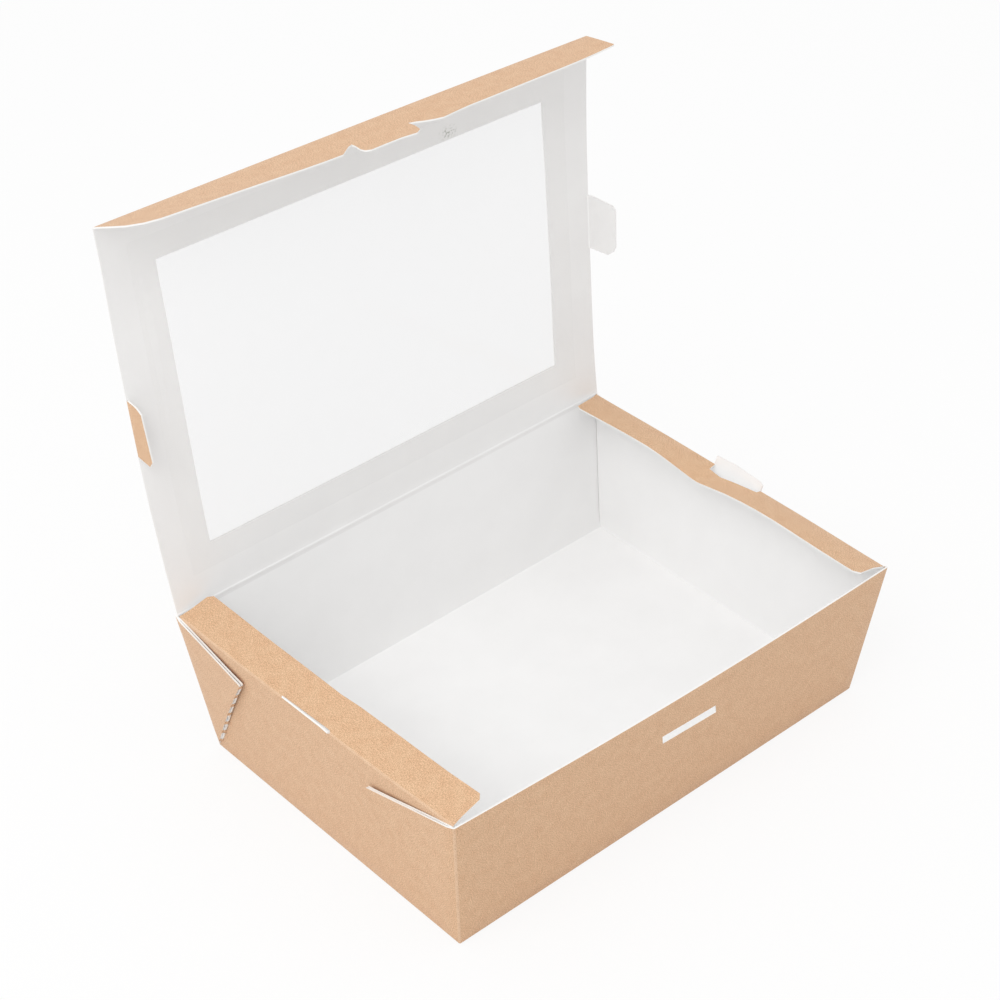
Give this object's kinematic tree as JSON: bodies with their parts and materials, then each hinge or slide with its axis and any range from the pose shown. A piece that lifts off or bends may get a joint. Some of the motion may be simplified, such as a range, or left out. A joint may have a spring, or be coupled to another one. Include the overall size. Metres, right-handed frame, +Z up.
{
  "type": "takeaway box",
  "caption": "Folded kraft card takeaway box with a tray, web corners, end flanges, a hinged lid with a film window, side tabs and a front lock flap.",
  "frame": {"origin": "middle of the tray's underside, on the surface that the box stands on", "axes": "+Z up, +X to the right seen from the front, -Y towards the front wall with the lock slot, +Y towards the lid's hinge"},
  "size_m": [0.2158, 0.1639, 0.2233],
  "materials": {
    "kraft_card": "matt brown kraft outside, matt white inside, white cut edges",
    "clear_film": "clear glossy film"
  },
  "bodies": {
    "tray": {"tray": "kraft_card"},
    "left_flange": {"left_flange": "kraft_card"},
    "right_flange": {"right_flange": "kraft_card"},
    "lid": {"lid": "kraft_card", "window_film": "clear_film"},
    "front_flap": {"front_flap": "kraft_card"},
    "left_tab": {"left_tab": "kraft_card"},
    "right_tab": {"right_tab": "kraft_card"}
  },
  "joints": [
    {"name": "lid_hinge", "type": "hinge", "parent": "tray", "child": "lid", "pos_m": [0, 0.07723, 0.0624], "axis": [-1, 0, 0], "range_deg": [-93.3, 106]},
    {"name": "front_flap_fold", "type": "hinge", "parent": "lid", "child": "front_flap", "pos_m": [0, 0.0862, 0.21805], "axis": [-1, 0, 0], "range_deg": [-13, 82]},
    {"name": "left_flange_fold", "type": "hinge", "parent": "tray", "child": "left_flange", "pos_m": [-0.10482, 0, 0.0615], "axis": [0, -1, 0], "range_deg": [-15, 17.1]},
    {"name": "right_flange_fold", "type": "hinge", "parent": "tray", "child": "right_flange", "pos_m": [0.10482, 0, 0.0615], "axis": [0, 1, 0], "range_deg": [-15, 17.1]},
    {"name": "left_tab_fold", "type": "hinge", "parent": "lid", "child": "left_tab", "pos_m": [-0.1039, 0.08167, 0.13952], "axis": [0, -0.0576, -0.9983], "range_deg": [-8, 9.2]},
    {"name": "right_tab_fold", "type": "hinge", "parent": "lid", "child": "right_tab", "pos_m": [0.1039, 0.08167, 0.13952], "axis": [0, 0.0576, 0.9983], "range_deg": [-36, 41]}
  ],
  "couplings": [
    {"joint": "left_flange_fold", "follows": "lid_hinge", "ratio": 0.16077},
    {"joint": "right_flange_fold", "follows": "lid_hinge", "ratio": 0.16077},
    {"joint": "left_tab_fold", "follows": "lid_hinge", "ratio": 0.085744},
    {"joint": "right_tab_fold", "follows": "lid_hinge", "ratio": 0.38585}
  ]
}
